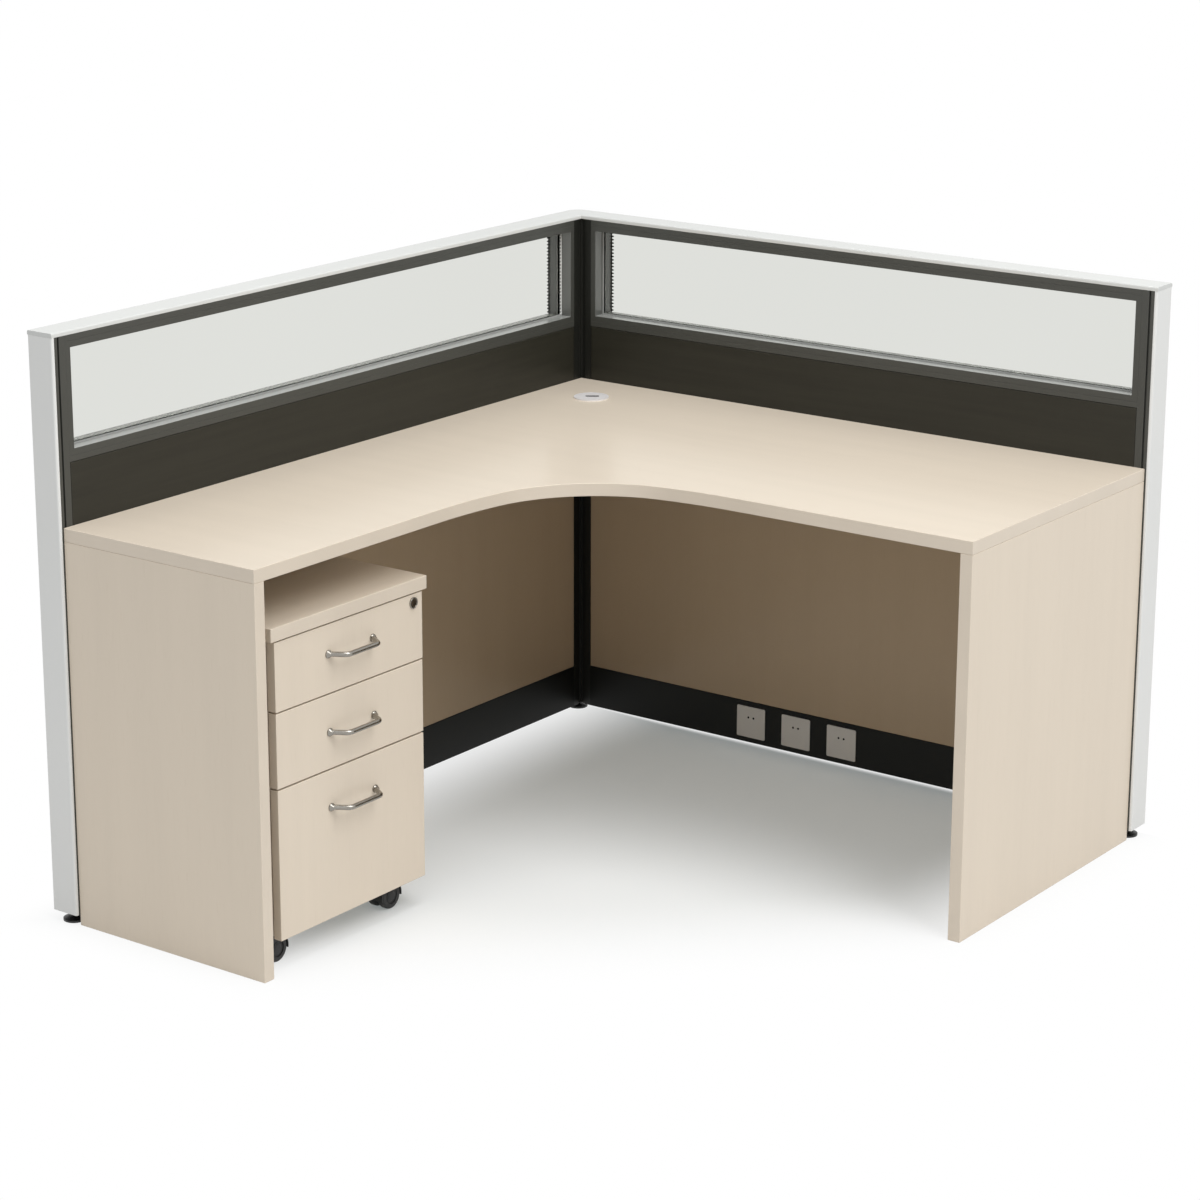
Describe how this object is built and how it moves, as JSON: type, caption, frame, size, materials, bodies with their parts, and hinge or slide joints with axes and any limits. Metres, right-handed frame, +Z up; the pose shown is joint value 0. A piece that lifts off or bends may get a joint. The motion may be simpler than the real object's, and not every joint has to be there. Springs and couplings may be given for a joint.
{
  "type": "cubicle workstation",
  "caption": "L-shaped office workstation: glazed corner screens, a curved corner worktop on gables, and a drawer pedestal on casters below it",
  "frame": {"origin": "middle of the footprint, on the floor", "axes": "+X runs along the back screen away from the corner, +Y points from the user to the back screen, +Z up; the side screen stands on the -X side"},
  "size_m": [1.4, 1.6, 1.1],
  "materials": {
    "charcoal_frame": "fine-textured charcoal powder coat",
    "pale_cap": "pale satin anodised",
    "charcoal_tile": "charcoal tile covering",
    "maple_tile": "pale maple laminate",
    "maple_board": "pale maple laminate, satin",
    "black_skirting": "satin black",
    "socket_plastic": "pale grey moulded plastic",
    "window_glass": "translucent pale green-grey",
    "black_plastic": "moulded black",
    "white_plastic": "white moulded",
    "zinc_steel": "zinc plated",
    "brushed_handle": "brushed nickel",
    "drawer_lining": "pale grey powder coat",
    "caster_tyre": "black"
  },
  "bodies": {
    "workstation": {"corner_post": "charcoal_frame", "corner_cap": "pale_cap", "screen_stiles": "charcoal_frame", "screen_rails": "charcoal_frame", "end_posts": "charcoal_frame", "end_caps": "pale_cap", "back_top_cap": "pale_cap", "side_top_cap": "pale_cap", "back_window_frame": "charcoal_frame", "side_window_frame": "charcoal_frame", "back_glass": "window_glass", "side_glass": "window_glass", "back_upper_tile": "charcoal_tile", "side_upper_tile": "charcoal_tile", "back_lower_tile": "maple_tile", "side_lower_tile": "maple_tile", "outer_upper_tiles": "charcoal_tile", "outer_lower_tiles": "maple_tile", "back_skirting": "black_skirting", "side_skirting": "black_skirting", "outer_skirting": "black_skirting", "socket_plates": "socket_plastic", "worktop": "maple_board", "left_gable": "maple_board", "right_gable": "maple_board", "worktop_brackets": "zinc_steel", "grommet_ring": "white_plastic"},
    "foot_corner": {"foot_corner": "black_plastic"},
    "foot_back": {"foot_back": "black_plastic"},
    "foot_side": {"foot_side": "black_plastic"},
    "grommet_lid": {"grommet_cap": "white_plastic"},
    "pedestal": {"pedestal_top": "maple_board", "pedestal_left_side": "maple_board", "pedestal_right_side": "maple_board", "pedestal_back": "maple_board", "pedestal_bottom": "maple_board", "cabinet_runners": "zinc_steel"},
    "drawer_1": {"drawer_1_front": "maple_board", "drawer_1_box": "drawer_lining", "drawer_1_runners": "zinc_steel", "drawer_1_handle": "brushed_handle"},
    "drawer_2": {"drawer_2_front": "maple_board", "drawer_2_box": "drawer_lining", "drawer_2_runners": "zinc_steel", "drawer_2_handle": "brushed_handle"},
    "drawer_3": {"drawer_3_front": "maple_board", "drawer_3_box": "drawer_lining", "drawer_3_runners": "zinc_steel", "drawer_3_handle": "brushed_handle"},
    "lock": {"lock_barrel": "brushed_handle"},
    "caster_1": {"caster_1_housing": "black_plastic"},
    "wheels_1": {"caster_1_wheels": "caster_tyre"},
    "caster_2": {"caster_2_housing": "black_plastic"},
    "wheels_2": {"caster_2_wheels": "caster_tyre"},
    "caster_3": {"caster_3_housing": "black_plastic"},
    "wheels_3": {"caster_3_wheels": "caster_tyre"},
    "caster_4": {"caster_4_housing": "black_plastic"},
    "wheels_4": {"caster_4_wheels": "caster_tyre"}
  },
  "joints": [
    {"name": "pedestal_roll", "type": "slide", "parent": "workstation", "child": "pedestal", "axis": [1, 0, 0], "range_m": [0, 0.45]},
    {"name": "drawer_1_slide", "type": "slide", "parent": "pedestal", "child": "drawer_1", "axis": [1, 0, 0], "range_m": [0, 0.3]},
    {"name": "drawer_2_slide", "type": "slide", "parent": "pedestal", "child": "drawer_2", "axis": [1, 0, 0], "range_m": [0, 0.3]},
    {"name": "drawer_3_slide", "type": "slide", "parent": "pedestal", "child": "drawer_3", "axis": [1, 0, 0], "range_m": [0, 0.3]},
    {"name": "lock_turn", "type": "hinge", "parent": "drawer_1", "child": "lock", "pos_m": [-0.211, -0.359, 0.588], "axis": [-1, 0, 0], "range_deg": [0, 90]},
    {"name": "caster_1_swivel", "type": "hinge", "parent": "pedestal", "child": "caster_1", "pos_m": [-0.256, -0.69, 0.06], "axis": [0, 0, 1], "continuous": true},
    {"name": "caster_1_roll", "type": "hinge", "parent": "caster_1", "child": "wheels_1", "pos_m": [-0.256, -0.705, 0.025], "axis": [1, 0, 0], "continuous": true},
    {"name": "caster_2_swivel", "type": "hinge", "parent": "pedestal", "child": "caster_2", "pos_m": [-0.256, -0.376, 0.06], "axis": [0, 0, 1], "continuous": true},
    {"name": "caster_2_roll", "type": "hinge", "parent": "caster_2", "child": "wheels_2", "pos_m": [-0.256, -0.391, 0.025], "axis": [1, 0, 0], "continuous": true},
    {"name": "caster_3_swivel", "type": "hinge", "parent": "pedestal", "child": "caster_3", "pos_m": [-0.581, -0.69, 0.06], "axis": [0, 0, 1], "continuous": true},
    {"name": "caster_3_roll", "type": "hinge", "parent": "caster_3", "child": "wheels_3", "pos_m": [-0.581, -0.705, 0.025], "axis": [1, 0, 0], "continuous": true},
    {"name": "caster_4_swivel", "type": "hinge", "parent": "pedestal", "child": "caster_4", "pos_m": [-0.581, -0.376, 0.06], "axis": [0, 0, 1], "continuous": true},
    {"name": "caster_4_roll", "type": "hinge", "parent": "caster_4", "child": "wheels_4", "pos_m": [-0.581, -0.391, 0.025], "axis": [1, 0, 0], "continuous": true},
    {"name": "grommet_turn", "type": "hinge", "parent": "workstation", "child": "grommet_lid", "pos_m": [-0.51, 0.6, 0.75], "axis": [0, 0, 1], "continuous": true},
    {"name": "foot_corner_turn", "type": "hinge", "parent": "workstation", "child": "foot_corner", "pos_m": [-0.67, 0.77, 0.02], "axis": [0, 0, 1], "continuous": true},
    {"name": "foot_back_turn", "type": "hinge", "parent": "workstation", "child": "foot_back", "pos_m": [0.6755, 0.77, 0.02], "axis": [0, 0, 1], "continuous": true},
    {"name": "foot_side_turn", "type": "hinge", "parent": "workstation", "child": "foot_side", "pos_m": [-0.67, -0.7755, 0.02], "axis": [0, 0, 1], "continuous": true}
  ]
}
